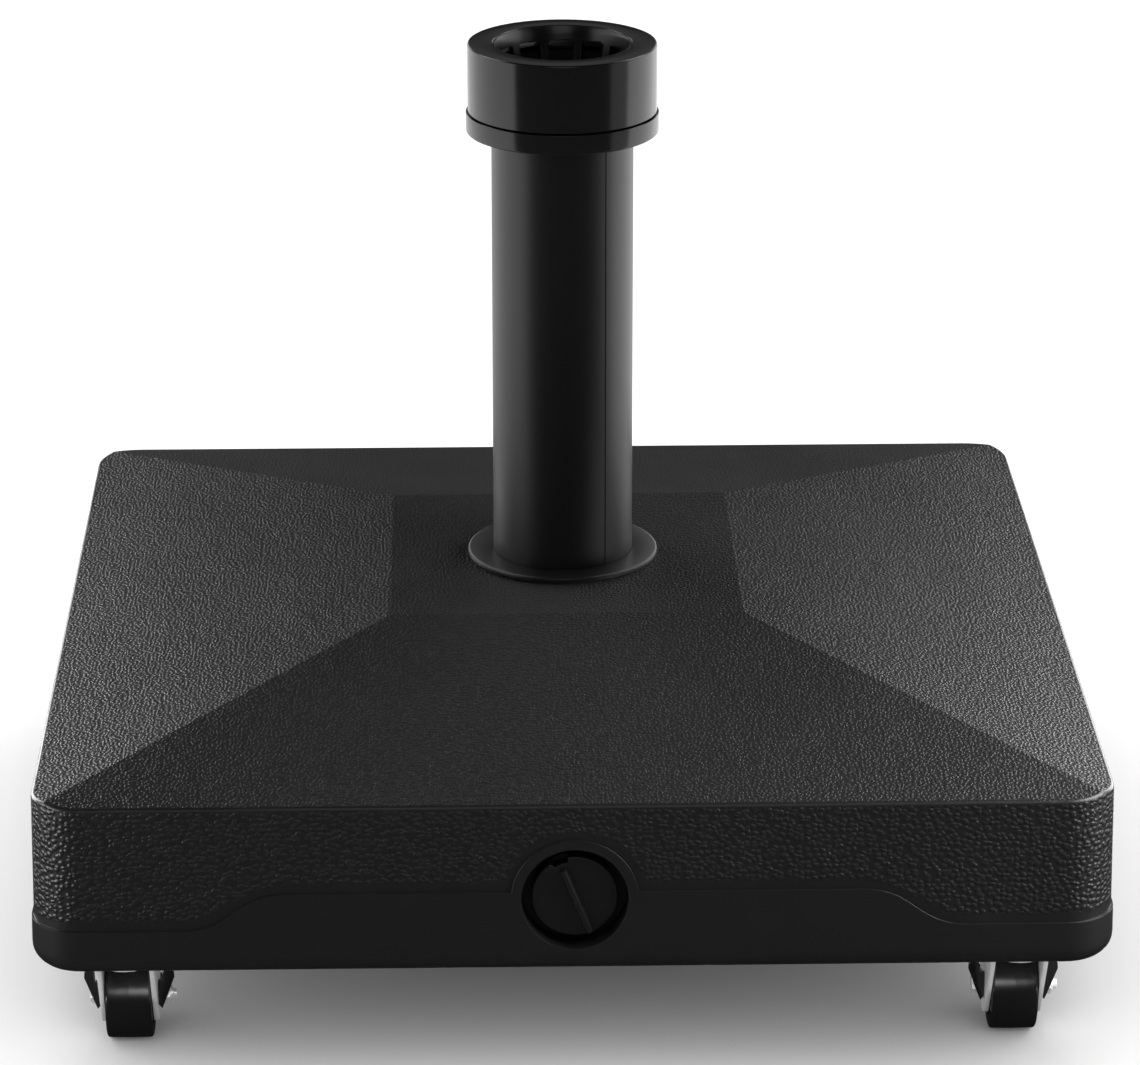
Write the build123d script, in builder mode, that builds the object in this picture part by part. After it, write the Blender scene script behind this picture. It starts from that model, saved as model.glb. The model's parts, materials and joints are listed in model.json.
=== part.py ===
"""Parasol base: a square ballast tank on four braked casters, with a stem tube and a screw collar for the pole.

Millimetres, +Z up, origin on the floor under the middle of the stem. -Y is the front, where the filler cap is.
"""

import os
from math import atan, cos, sin, radians

from build123d import *

# Driving dimensions: tank
TANK_WIDTH = 600.0
TANK_BOTTOM_Z = 69.0
SHOULDER_Z = 168.6
SHOULDER_HALF = 297.6
TOP_Z = 205.3
TOP_HALF = 102.4
TANK_WALL = 4.0
CORNER_RADIUS = 28.0
BOTTOM_FILLET = 12.0
ROOF_FILLET = 2.5
PANEL_STEP = 1.0
PANEL_LOW_Z = 96.5
PANEL_HIGH_Z = 118.0
PANEL_HIGH_HALF = 158.0
PANEL_LOW_HALF = 216.0
WELL_RADIUS = 42.2
WEB_THICKNESS = 8.0
PAD_LENGTH = 66.0
PAD_WIDTH = 58.0
PAD_HEIGHT = 14.0
GROOVE_DEPTH = 8.0
GROOVE_WIDTH = 24.0
GROOVE_START = 75.0
GROOVE_END = 290.0

# Driving dimensions: filler
CAP_Z = 113.4
RECESS_RADIUS = 29.5
RECESS_FLOOR_Y = 284.0
BOSS_RADIUS = 35.1
BOSS_FLARE = 8.0
NECK_RADIUS = 17.5
NECK_LENGTH = 18.0
CAP_RADIUS = 23.5
CAP_THICKNESS = 8.5
CAP_SKIRT_RADIUS = 17.0
CAP_SKIRT_LENGTH = 15.0
CAP_BAR_WIDTH = 4.0
CAP_BAR_HEIGHT = 4.0
CAP_BAR_TILT = 22.0
GASKET_THICKNESS = 2.0

# Driving dimensions: stem
STEM_RADIUS = 41.4
STEM_WALL = 2.5
STEM_TOP_Z = 473.0
FLANGE_RADIUS = 56.6
FLANGE_THICKNESS = 3.0
SEAL_THICKNESS = 1.0
SEAM_ANGLE = -54.0
SEAM_WIDTH = 0.8
SEAM_DEPTH = 0.5
ANCHOR_THICKNESS = 8.0
STEM_BOLT_CIRCLE = 25.0
STEM_BOLT_RADIUS = 4.0
POLE_BORE_RADIUS = 25.9
BUSHING_LENGTH = 60.0

# Driving dimensions: collar
COLLAR_RING_RADIUS = 56.1
COLLAR_RING_BOTTOM_Z = 466.7
COLLAR_SEAM_Z = 478.8
COLLAR_TOP_Z = 518.9
SLEEVE_RADIUS = 55.0
MOUTH_RADIUS = 40.3
NECK_THREAD_RADIUS = 48.2
GRIP_RADIUS = 26.6
GRIP_BOTTOM_Z = 461.0
GRIP_TOP_Z = 473.0
FINGERS = 12
FINGER_SLOT = 2.0
WINDOW_ANGLE = 22.0
WINDOW_BOTTOM_Z = 484.0
WINDOW_TOP_Z = 510.5
COLLAR_GAP = 0.4

# Driving dimensions: casters
SWIVEL_OFFSET = 250.0
TRAIL = 23.0
WHEEL_RADIUS = 25.0
TYRE_HALF_WIDTH = 13.0
TREAD_FILLET = 4.5
RIM_RADIUS = 17.5
ARM_INNER = 13.5
ARM_THICKNESS = 2.5
ARM_END_RADIUS = 15.5
AXLE_RADIUS = 3.0
SLEEVE_WALL = 2.0
RUNNING_GAP = 0.05
SIDE_GAP = 0.3
PLATE_LENGTH = 56.0
PLATE_WIDTH = 48.0
PLATE_THICKNESS = 2.5
RACE_RADIUS = 21.0
CROWN_RADIUS = 19.0
CROWN_TOP_Z = 60.5
RIVET_RADIUS = 5.0
BALL_RADIUS = 2.1
BALL_CIRCLE = 14.5
BALLS = 12
SCREW_SPACING_X = 44.0
SCREW_SPACING_Y = 34.0
SCREW_RADIUS = 2.4
CHEEK_THICKNESS = 1.9
PEDAL_INNER_RADIUS = 27.0
PEDAL_OUTER_RADIUS = 29.4
PEDAL_LIP_RADIUS = 33.0
PEDAL_START = -28.0
PEDAL_END = -2.0
WING_FRONT = 9.2
WING_THICKNESS = 2.4
# Each corner's swivel axis, and how far its fork is turned
CORNERS = {
    "front_left": (-SWIVEL_OFFSET, -SWIVEL_OFFSET, 0),
    "front_right": (SWIVEL_OFFSET, -SWIVEL_OFFSET, 0),
    "rear_left": (-SWIVEL_OFFSET, SWIVEL_OFFSET, 180),
    "rear_right": (SWIVEL_OFFSET, SWIVEL_OFFSET, 180),
}

os.makedirs("parts", exist_ok=True)


def save(part, name):
    """Label a finished piece and write it under its node name."""
    part.label = name
    export_step(part, f"parts/{name}.step")


# Tank ---------------------------------------------------------------------------------------------
ROOF_SLOPE = (TOP_Z - SHOULDER_Z) / (SHOULDER_HALF - TOP_HALF)
ROOF_DROP = TANK_WALL / cos(atan(ROOF_SLOPE))
BODY_BOTTOM_HALF = TANK_WIDTH / 2 - PANEL_STEP
WALL_SLOPE = (BODY_BOTTOM_HALF - SHOULDER_HALF) / (SHOULDER_Z - TANK_BOTTOM_Z)
BODY_TOP_HALF = SHOULDER_HALF - WALL_SLOPE * (TOP_Z - SHOULDER_Z)
EAVE_OVERHANG = 20.0
EAVE_HALF = SHOULDER_HALF + EAVE_OVERHANG
EAVE_Z = SHOULDER_Z - ROOF_SLOPE * EAVE_OVERHANG
PANEL_ROOF_Z = CAP_Z + BOSS_RADIUS + 5
PANEL_TOP_HALF = TANK_WIDTH / 2 - WALL_SLOPE * (PANEL_ROOF_Z - TANK_BOTTOM_Z)
WEB_TOP_Z = TANK_BOTTOM_Z + WEB_THICKNESS
RECESS_SKIN_Y = RECESS_FLOOR_Y - TANK_WALL
NECK_END_Y = RECESS_SKIN_Y - NECK_LENGTH
FRONT_BAND_Y = SHOULDER_HALF - CORNER_RADIUS
SIDE_CLEAR = TANK_WIDTH / 2 + 10
DIAGONALS = (45, 135, 225, 315)

# The smooth lower panel stands a little proud of the wall. Its top line is low at the corners and round the
# sides, rises in an S at each end of the front, and runs into a boss round the filler recess.
with BuildPart() as panel:
    for half, height in ((TANK_WIDTH / 2, TANK_BOTTOM_Z), (PANEL_TOP_HALF, PANEL_ROOF_Z)):
        with BuildSketch(Plane.XY.offset(height)):
            RectangleRounded(2 * half, 2 * half, CORNER_RADIUS)
    loft()
    with BuildSketch(Plane.XY.offset(PANEL_LOW_Z)):
        with Locations((0, (SIDE_CLEAR - FRONT_BAND_Y) / 2)):
            Rectangle(2 * SIDE_CLEAR, SIDE_CLEAR + FRONT_BAND_Y)
    extrude(amount=PANEL_ROOF_Z, mode=Mode.SUBTRACT)
    with BuildSketch(Plane.XZ.offset(FRONT_BAND_Y)) as above_line:
        with BuildLine():
            middle = (PANEL_LOW_HALF + PANEL_HIGH_HALF) / 2
            for side in (-1, 1):
                Line((side * SIDE_CLEAR, PANEL_ROOF_Z + 1), (side * SIDE_CLEAR, PANEL_LOW_Z))
                Line((side * SIDE_CLEAR, PANEL_LOW_Z), (side * PANEL_LOW_HALF, PANEL_LOW_Z))
                Bezier(
                    (side * PANEL_LOW_HALF, PANEL_LOW_Z),
                    (side * middle, PANEL_LOW_Z),
                    (side * middle, PANEL_HIGH_Z),
                    (side * PANEL_HIGH_HALF, PANEL_HIGH_Z),
                )
            Line((-PANEL_HIGH_HALF, PANEL_HIGH_Z), (PANEL_HIGH_HALF, PANEL_HIGH_Z))
            Line((-SIDE_CLEAR, PANEL_ROOF_Z + 1), (SIDE_CLEAR, PANEL_ROOF_Z + 1))
        make_face()
        with Locations((0, CAP_Z)):
            Circle(BOSS_RADIUS, mode=Mode.SUBTRACT)
        line_ends = above_line.vertices().filter_by_position(Axis.Y, PANEL_HIGH_Z, PANEL_HIGH_Z)
        fillet(line_ends.filter_by_position(Axis.X, -BOSS_RADIUS, BOSS_RADIUS), BOSS_FLARE)
    extrude(amount=SIDE_CLEAR - FRONT_BAND_Y, mode=Mode.SUBTRACT)

# Everything under the four roof slopes and the flat top, which meet in plain hips
with BuildPart() as hipped:
    with BuildSketch(Plane.XY.offset(EAVE_Z)):
        Rectangle(2 * EAVE_HALF, 2 * EAVE_HALF)
    extrude(amount=TANK_BOTTOM_Z - TANK_WALL - EAVE_Z)
    for half, height in ((EAVE_HALF, EAVE_Z), (TOP_HALF, TOP_Z)):
        with BuildSketch(Plane.XY.offset(height)):
            Rectangle(2 * half, 2 * half)
    loft()

# The water or sand space inside, with everything that stands in it left out
with BuildPart() as cavity:
    for half, height in ((BODY_BOTTOM_HALF, TANK_BOTTOM_Z + TANK_WALL), (BODY_TOP_HALF, TOP_Z)):
        with BuildSketch(Plane.XY.offset(height)):
            RectangleRounded(2 * half - 2 * TANK_WALL, 2 * half - 2 * TANK_WALL, CORNER_RADIUS - TANK_WALL)
    loft()
    fillet(cavity.edges().group_by(Axis.Z)[0], BOTTOM_FILLET - TANK_WALL)
    add(hipped.part.moved(Location((0, 0, -ROOF_DROP))), mode=Mode.INTERSECT)
    with BuildSketch(Plane.XY.offset(TANK_BOTTOM_Z)):
        Circle(WELL_RADIUS + TANK_WALL)
    extrude(amount=TOP_Z - TANK_BOTTOM_Z, mode=Mode.SUBTRACT)
    with BuildSketch(Plane.XY.offset(TANK_BOTTOM_Z)):
        with GridLocations(2 * SWIVEL_OFFSET, 2 * SWIVEL_OFFSET, 2, 2):
            RectangleRounded(PAD_LENGTH, PAD_WIDTH, 8)
    extrude(amount=PAD_HEIGHT, mode=Mode.SUBTRACT)
    for angle in DIAGONALS:
        with BuildSketch(Plane.XY.offset(TANK_BOTTOM_Z).rotated((0, 0, angle))):
            with Locations(((GROOVE_START + GROOVE_END) / 2, 0)):
                SlotOverall(GROOVE_END - GROOVE_START + 2 * TANK_WALL, GROOVE_WIDTH + 2 * TANK_WALL)
        extrude(amount=GROOVE_DEPTH + TANK_WALL, mode=Mode.SUBTRACT)
    for radius, end_y in ((RECESS_RADIUS + TANK_WALL, RECESS_SKIN_Y), (NECK_RADIUS + TANK_WALL, NECK_END_Y)):
        with BuildSketch(Plane.XZ.offset(end_y)):
            with Locations((0, CAP_Z)):
                Circle(radius)
        extrude(amount=SIDE_CLEAR - end_y, mode=Mode.SUBTRACT)

with BuildPart() as tank:
    for half, height in ((BODY_BOTTOM_HALF, TANK_BOTTOM_Z), (BODY_TOP_HALF, TOP_Z)):
        with BuildSketch(Plane.XY.offset(height)):
            RectangleRounded(2 * half, 2 * half, CORNER_RADIUS)
    loft()
    add(hipped.part, mode=Mode.INTERSECT)
    fillet(tank.edges().filter_by_position(Axis.Z, SHOULDER_Z - 1, TOP_Z), ROOF_FILLET)
    add(panel.part)
    fillet(tank.edges().filter_by_position(Axis.Z, TANK_BOTTOM_Z, TANK_BOTTOM_Z), BOTTOM_FILLET)
    add(cavity.part, mode=Mode.SUBTRACT)
    with BuildSketch(Plane.XY.offset(WEB_TOP_Z)):
        Circle(WELL_RADIUS)
    extrude(amount=TOP_Z, mode=Mode.SUBTRACT)
    for radius, end_y in ((RECESS_RADIUS, RECESS_FLOOR_Y), (NECK_RADIUS, NECK_END_Y)):
        with BuildSketch(Plane.XZ.offset(end_y)):
            with Locations((0, CAP_Z)):
                Circle(radius)
        extrude(amount=SIDE_CLEAR - end_y, mode=Mode.SUBTRACT)
    for angle in DIAGONALS:
        with BuildSketch(Plane.XY.offset(TANK_BOTTOM_Z).rotated((0, 0, angle))):
            with Locations(((GROOVE_START + GROOVE_END) / 2, 0)):
                SlotOverall(GROOVE_END - GROOVE_START, GROOVE_WIDTH)
        extrude(amount=GROOVE_DEPTH, mode=Mode.SUBTRACT)
    with BuildSketch(Plane.XY.offset(TANK_BOTTOM_Z)):
        with PolarLocations(STEM_BOLT_CIRCLE, 4, 45):
            Circle(STEM_BOLT_RADIUS + 0.5)
    extrude(amount=WEB_THICKNESS, mode=Mode.SUBTRACT)
    with BuildSketch(Plane.XY.offset(TANK_BOTTOM_Z)):
        with GridLocations(2 * SWIVEL_OFFSET, 2 * SWIVEL_OFFSET, 2, 2):
            with GridLocations(SCREW_SPACING_X, SCREW_SPACING_Y, 2, 2):
                Circle(SCREW_RADIUS + RUNNING_GAP)
    extrude(amount=PAD_HEIGHT - 2, mode=Mode.SUBTRACT)
save(tank.part, "tank")


# Stem ---------------------------------------------------------------------------------------------
STEM_INNER = STEM_RADIUS - STEM_WALL
STEM_FIT = 0.1
SEAL_TOP_Z = TOP_Z + SEAL_THICKNESS
FLANGE_TOP_Z = SEAL_TOP_Z + FLANGE_THICKNESS
ANCHOR_TOP_Z = WEB_TOP_Z + ANCHOR_THICKNESS
BUSHING_TOP_Z = ANCHOR_TOP_Z + BUSHING_LENGTH
BUSHING_WALL = 3.0
BUSHING_MOUTH = 2.0
WASHER_RADIUS = 8.0
WASHER_THICKNESS = 1.6
HEX_8_ACROSS = 13.0
HEX_8_HEIGHT = 5.3

with BuildPart() as stem_tube:
    with BuildSketch(Plane.XY.offset(WEB_TOP_Z)):
        Circle(STEM_RADIUS)
        Circle(STEM_INNER, mode=Mode.SUBTRACT)
    extrude(amount=STEM_TOP_Z - WEB_TOP_Z)
    with BuildSketch(Plane.XY.offset(FLANGE_TOP_Z)):
        with PolarLocations(STEM_RADIUS, 2, SEAM_ANGLE):
            Rectangle(2 * SEAM_DEPTH, SEAM_WIDTH)
    extrude(amount=COLLAR_RING_BOTTOM_Z - FLANGE_TOP_Z, mode=Mode.SUBTRACT)
save(stem_tube.part, "stem_tube")

with BuildPart() as stem_flange:
    with BuildSketch(Plane.XY.offset(SEAL_TOP_Z)):
        Circle(FLANGE_RADIUS)
        Circle(STEM_RADIUS + STEM_FIT, mode=Mode.SUBTRACT)
    extrude(amount=FLANGE_THICKNESS)
    rim = stem_flange.edges().group_by(Axis.Z)[-1].sort_by(SortBy.RADIUS)[-1]
    fillet(rim, FLANGE_THICKNESS / 2)
save(stem_flange.part, "stem_flange")

with BuildPart() as flange_seal:
    with BuildSketch(Plane.XY.offset(TOP_Z)):
        Circle(FLANGE_RADIUS - 2)
        Circle(WELL_RADIUS + 0.5, mode=Mode.SUBTRACT)
    extrude(amount=SEAL_THICKNESS)
save(flange_seal.part, "flange_seal")

with BuildPart() as stem_anchor:
    with BuildSketch(Plane.XY.offset(WEB_TOP_Z)):
        Circle(STEM_INNER - STEM_FIT)
        with PolarLocations(STEM_BOLT_CIRCLE, 4, 45):
            Circle(STEM_BOLT_RADIUS + RUNNING_GAP, mode=Mode.SUBTRACT)
    extrude(amount=ANCHOR_THICKNESS)
save(stem_anchor.part, "stem_anchor")

with BuildPart() as stem_washers:
    with BuildSketch(Plane.XY.offset(TANK_BOTTOM_Z - WASHER_THICKNESS)):
        with PolarLocations(STEM_BOLT_CIRCLE, 4, 45):
            Circle(WASHER_RADIUS)
            Circle(STEM_BOLT_RADIUS + 0.3, mode=Mode.SUBTRACT)
    extrude(amount=WASHER_THICKNESS)
save(stem_washers.part, "stem_washers")

with BuildPart() as stem_bolts:
    with BuildSketch(Plane.XY.offset(TANK_BOTTOM_Z - WASHER_THICKNESS)):
        with PolarLocations(STEM_BOLT_CIRCLE, 4, 45):
            RegularPolygon(HEX_8_ACROSS / 2, 6, major_radius=False)
    extrude(amount=-HEX_8_HEIGHT)
    with BuildSketch(Plane.XY.offset(TANK_BOTTOM_Z - WASHER_THICKNESS)):
        with PolarLocations(STEM_BOLT_CIRCLE, 4, 45):
            Circle(STEM_BOLT_RADIUS)
    extrude(amount=WASHER_THICKNESS + WEB_THICKNESS + ANCHOR_THICKNESS - 1)
save(stem_bolts.part, "stem_bolts")

# The bush is an inner sleeve held in the tube by two end discs and ribs between them
with BuildPart() as pole_bushing:
    bush_outer = STEM_INNER - STEM_FIT
    with BuildSketch(Plane.XY.offset(ANCHOR_TOP_Z)):
        Circle(POLE_BORE_RADIUS + BUSHING_WALL)
        with PolarLocations((POLE_BORE_RADIUS + bush_outer) / 2, 8):
            Rectangle(bush_outer - POLE_BORE_RADIUS - 1, BUSHING_WALL)
    extrude(amount=BUSHING_LENGTH)
    for disc_bottom in (ANCHOR_TOP_Z, BUSHING_TOP_Z - BUSHING_WALL):
        with BuildSketch(Plane.XY.offset(disc_bottom)):
            Circle(bush_outer)
        extrude(amount=BUSHING_WALL)
    with BuildSketch(Plane.XY.offset(ANCHOR_TOP_Z)):
        Circle(POLE_BORE_RADIUS)
    extrude(amount=BUSHING_LENGTH, mode=Mode.SUBTRACT)
    mouth = pole_bushing.edges().filter_by(GeomType.CIRCLE).group_by(Axis.Z)[-1].sort_by(SortBy.RADIUS)[0]
    chamfer(mouth, BUSHING_MOUTH)
save(pole_bushing.part, "pole_bushing")

# Collar -------------------------------------------------------------------------------------------
SEAT_TOP_Z = 504.0
SEAT_BOTTOM_Z = 459.0
SEAT_TOP_RADIUS = 40.0
SEAT_BOTTOM_RADIUS = 34.0
SEAT_SLOPE = (SEAT_TOP_RADIUS - SEAT_BOTTOM_RADIUS) / (SEAT_TOP_Z - SEAT_BOTTOM_Z)
PLUG_BOTTOM_Z = 444.0
COLLET_TOP_Z = COLLAR_TOP_Z - COLLAR_GAP
COLLET_RIM_RADIUS = MOUTH_RADIUS - COLLAR_GAP
COLLET_MOUTH_RADIUS = COLLET_RIM_RADIUS - 0.6
COLLET_THROAT_RADIUS = 31.0
COLLET_THROAT_Z = 482.0
COLLET_OUTER_TOP = SEAT_TOP_RADIUS - COLLAR_GAP
COLLET_OUTER_BOTTOM = SEAT_BOTTOM_RADIUS + SEAT_SLOPE * (GRIP_BOTTOM_Z - SEAT_BOTTOM_Z) - COLLAR_GAP
WINDOW_REACH = SLEEVE_RADIUS
CLAMP_RING_BOTTOM_Z = SEAT_TOP_Z + 3
CLAMP_RING_TOP_Z = 510.0
SLEEVE_BORE_RADIUS = NECK_THREAD_RADIUS + COLLAR_GAP
SLEEVE_ROOF_Z = CLAMP_RING_TOP_Z + COLLAR_GAP

with BuildPart() as collar_base:
    with BuildSketch(Plane.XZ):
        with BuildLine():
            Polyline(
                (SEAT_BOTTOM_RADIUS, PLUG_BOTTOM_Z),
                (STEM_INNER - STEM_FIT, PLUG_BOTTOM_Z),
                (STEM_INNER - STEM_FIT, STEM_TOP_Z),
                (STEM_RADIUS + STEM_FIT, STEM_TOP_Z),
                (STEM_RADIUS + STEM_FIT, COLLAR_RING_BOTTOM_Z),
                (COLLAR_RING_RADIUS, COLLAR_RING_BOTTOM_Z),
                (COLLAR_RING_RADIUS, COLLAR_SEAM_Z - COLLAR_GAP),
                (NECK_THREAD_RADIUS, COLLAR_SEAM_Z - COLLAR_GAP),
                (NECK_THREAD_RADIUS, SEAT_TOP_Z),
                (SEAT_TOP_RADIUS, SEAT_TOP_Z),
                (SEAT_BOTTOM_RADIUS, SEAT_BOTTOM_Z),
                close=True,
            )
        make_face()
    revolve(axis=Axis.Z)
    rim = collar_base.edges().filter_by(GeomType.CIRCLE).sort_by(SortBy.RADIUS)[-2:]
    fillet(rim, 1.2)
save(collar_base.part, "collar_base")

# The fingers hang from one solid rim, with an open window between each two and a slot between their grips
with BuildPart() as collet:
    with BuildSketch(Plane.XZ):
        with BuildLine():
            Polyline(
                (GRIP_RADIUS, GRIP_BOTTOM_Z),
                (COLLET_OUTER_BOTTOM, GRIP_BOTTOM_Z),
                (COLLET_OUTER_TOP, SEAT_TOP_Z),
                (COLLET_RIM_RADIUS, SEAT_TOP_Z + 2),
                (COLLET_RIM_RADIUS, COLLET_TOP_Z),
                (COLLET_MOUTH_RADIUS, COLLET_TOP_Z),
                (COLLET_THROAT_RADIUS, COLLET_THROAT_Z),
                (GRIP_RADIUS, GRIP_TOP_Z),
                close=True,
            )
        make_face()
    revolve(axis=Axis.Z)
    with BuildSketch(Plane.XY.offset(GRIP_BOTTOM_Z)):
        with PolarLocations(SEAT_TOP_RADIUS, FINGERS):
            Rectangle(SEAT_TOP_RADIUS, FINGER_SLOT)
    extrude(amount=WINDOW_BOTTOM_Z - GRIP_BOTTOM_Z, mode=Mode.SUBTRACT)
    with BuildSketch(Plane.XY.offset(WINDOW_BOTTOM_Z)):
        with PolarLocations(0, FINGERS):
            with BuildLine():
                half_reach = WINDOW_REACH * sin(radians(WINDOW_ANGLE / 2))
                Polyline((0, 0), (WINDOW_REACH, -half_reach), (WINDOW_REACH, half_reach), close=True)
            make_face()
    extrude(amount=WINDOW_TOP_Z - WINDOW_BOTTOM_Z, mode=Mode.SUBTRACT)
save(collet.part, "collet")

with BuildPart() as clamp_ring:
    with BuildSketch(Plane.XY.offset(CLAMP_RING_BOTTOM_Z)):
        Circle(SLEEVE_BORE_RADIUS - COLLAR_GAP)
        Circle(COLLET_RIM_RADIUS + COLLAR_GAP, mode=Mode.SUBTRACT)
    extrude(amount=CLAMP_RING_TOP_Z - CLAMP_RING_BOTTOM_Z)
save(clamp_ring.part, "clamp_ring")

with BuildPart() as collar_sleeve:
    with BuildSketch(Plane.XY.offset(COLLAR_SEAM_Z + COLLAR_GAP)):
        Circle(SLEEVE_RADIUS)
        Circle(SLEEVE_BORE_RADIUS, mode=Mode.SUBTRACT)
    extrude(amount=SLEEVE_ROOF_Z - COLLAR_SEAM_Z - COLLAR_GAP)
    with BuildSketch(Plane.XY.offset(SLEEVE_ROOF_Z)):
        Circle(SLEEVE_RADIUS)
        Circle(MOUTH_RADIUS, mode=Mode.SUBTRACT)
    extrude(amount=COLLAR_TOP_Z - SLEEVE_ROOF_Z)
    top_edges = collar_sleeve.edges().group_by(Axis.Z)[-1].sort_by(SortBy.RADIUS)
    fillet(top_edges[0], 0.5)
    fillet(top_edges[-1], 1.0)
save(collar_sleeve.part, "collar_sleeve")

# Filler cap ---------------------------------------------------------------------------------------
GASKET_FACE_Y = RECESS_FLOOR_Y + GASKET_THICKNESS
CAP_FACE_Y = GASKET_FACE_Y + CAP_THICKNESS
BAR_ANGLE = radians(90 + CAP_BAR_TILT)
BAR_LENGTH = 2 * CAP_RADIUS - 1
NOTCH_WIDTH = 3.0

with BuildPart() as cap_gasket:
    with BuildSketch(Plane.XZ.offset(RECESS_FLOOR_Y)):
        with Locations((0, CAP_Z)):
            Circle(CAP_RADIUS - 1)
            Circle(NECK_RADIUS + 0.5, mode=Mode.SUBTRACT)
    extrude(amount=GASKET_THICKNESS)
save(cap_gasket.part, "cap_gasket")

with BuildPart() as filler_cap:
    with BuildSketch(Plane.XZ.offset(GASKET_FACE_Y)):
        with Locations((0, CAP_Z)):
            Circle(CAP_RADIUS)
    extrude(amount=CAP_THICKNESS)
    fillet(filler_cap.faces().sort_by(Axis.Y)[0].edges(), 1.0)
    with BuildSketch(Plane.XZ.offset(GASKET_FACE_Y)):
        with Locations((0, CAP_Z)):
            Circle(CAP_SKIRT_RADIUS)
            Circle(CAP_SKIRT_RADIUS - 2.5, mode=Mode.SUBTRACT)
    extrude(amount=-CAP_SKIRT_LENGTH)
    with BuildSketch(Plane.XZ.offset(CAP_FACE_Y)):
        with Locations(Location((0, CAP_Z), 90 + CAP_BAR_TILT)):
            SlotOverall(BAR_LENGTH, CAP_BAR_WIDTH)
    extrude(amount=CAP_BAR_HEIGHT)
    with BuildSketch(Plane.XZ.offset(GASKET_FACE_Y)):
        notch_angle = BAR_ANGLE + radians(14)
        with Locations((CAP_RADIUS * cos(notch_angle), CAP_Z + CAP_RADIUS * sin(notch_angle))):
            Circle(NOTCH_WIDTH / 2)
    extrude(amount=CAP_THICKNESS, mode=Mode.SUBTRACT)
save(filler_cap.part, "filler_cap")

# Casters, each piece made once about its own swivel axis and then placed at the four corners --------
PLATE_BOTTOM_Z = TANK_BOTTOM_Z - PLATE_THICKNESS
RACE_BOTTOM_Z = CROWN_TOP_Z + 2 * BALL_RADIUS + 2 * RUNNING_GAP
RACE_SKIRT_Z = CROWN_TOP_Z + 0.8
CROWN_THICKNESS = ARM_THICKNESS
CROWN_BOTTOM_Z = CROWN_TOP_Z - CROWN_THICKNESS
ARM_OUTER = ARM_INNER + ARM_THICKNESS
CHEEK_INNER = ARM_OUTER + SIDE_GAP
CHEEK_OUTER = CHEEK_INNER + CHEEK_THICKNESS
HEX_START = CHEEK_OUTER + SIDE_GAP
HEX_6_ACROSS = 10.0
HEX_6_HEIGHT = 4.0
NUT_HEIGHT = 5.0
BOLT_END = 26.0
SLEEVE_OUTER_RADIUS = AXLE_RADIUS + RUNNING_GAP + SLEEVE_WALL
HUB_HALF_WIDTH = 12.6
RIM_HALF_WIDTH = 11.0
RIVET_HEAD_RADIUS = 8.0
RIVET_HEAD_THICKNESS = 2.4
SCREW_LENGTH = 12.0
AXLE = Axis((0, TRAIL, WHEEL_RADIUS), (1, 0, 0))

with BuildPart() as caster_plate:
    with BuildSketch(Plane.XY.offset(PLATE_BOTTOM_Z)):
        RectangleRounded(PLATE_LENGTH, PLATE_WIDTH, 6)
        with GridLocations(SCREW_SPACING_X, SCREW_SPACING_Y, 2, 2):
            Circle(SCREW_RADIUS + 0.4, mode=Mode.SUBTRACT)
    extrude(amount=PLATE_THICKNESS)
    with BuildSketch(Plane.XY.offset(PLATE_BOTTOM_Z)):
        Circle(RACE_RADIUS)
    extrude(amount=RACE_BOTTOM_Z - PLATE_BOTTOM_Z)
    with BuildSketch(Plane.XY.offset(RACE_BOTTOM_Z)):
        Circle(RACE_RADIUS)
        Circle(RACE_RADIUS - 1.5, mode=Mode.SUBTRACT)
    extrude(amount=RACE_SKIRT_Z - RACE_BOTTOM_Z)
    with BuildSketch(Plane.XY.offset(RACE_SKIRT_Z)):
        Circle(RIVET_RADIUS + RUNNING_GAP)
    extrude(amount=TANK_BOTTOM_Z - RACE_SKIRT_Z, mode=Mode.SUBTRACT)

with BuildPart() as swivel_rivet:
    with BuildSketch(Plane.XY.offset(CROWN_BOTTOM_Z - SIDE_GAP)):
        Circle(RIVET_HEAD_RADIUS)
    extrude(amount=-RIVET_HEAD_THICKNESS)
    fillet(swivel_rivet.edges().group_by(Axis.Z)[0], 1.2)
    with BuildSketch(Plane.XY.offset(CROWN_BOTTOM_Z - SIDE_GAP)):
        Circle(RIVET_RADIUS)
    extrude(amount=TANK_BOTTOM_Z - CROWN_BOTTOM_Z)

with BuildPart() as bearing_balls:
    with Locations((0, 0, CROWN_TOP_Z + RUNNING_GAP + BALL_RADIUS)):
        with PolarLocations(BALL_CIRCLE, BALLS):
            Sphere(BALL_RADIUS)

with BuildPart() as fork:
    with BuildSketch(Plane.XY.offset(CROWN_BOTTOM_Z)):
        Circle(CROWN_RADIUS)
        Rectangle(2 * ARM_OUTER, 2 * CROWN_RADIUS - 4)
    extrude(amount=CROWN_THICKNESS)
    for inner_x in (-ARM_OUTER, ARM_INNER):
        with BuildSketch(Plane.YZ.offset(inner_x)):
            with Locations((0, CROWN_TOP_Z - CROWN_THICKNESS / 2)):
                Rectangle(2 * CROWN_RADIUS - 4, CROWN_THICKNESS)
            with Locations((TRAIL, WHEEL_RADIUS)):
                Circle(ARM_END_RADIUS)
            make_hull()
            with Locations((TRAIL, WHEEL_RADIUS)):
                Circle(AXLE_RADIUS + 0.1, mode=Mode.SUBTRACT)
        extrude(amount=ARM_THICKNESS)
    with BuildSketch(Plane.XY.offset(CROWN_BOTTOM_Z)):
        Circle(RIVET_RADIUS + RUNNING_GAP)
    extrude(amount=CROWN_THICKNESS, mode=Mode.SUBTRACT)

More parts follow.
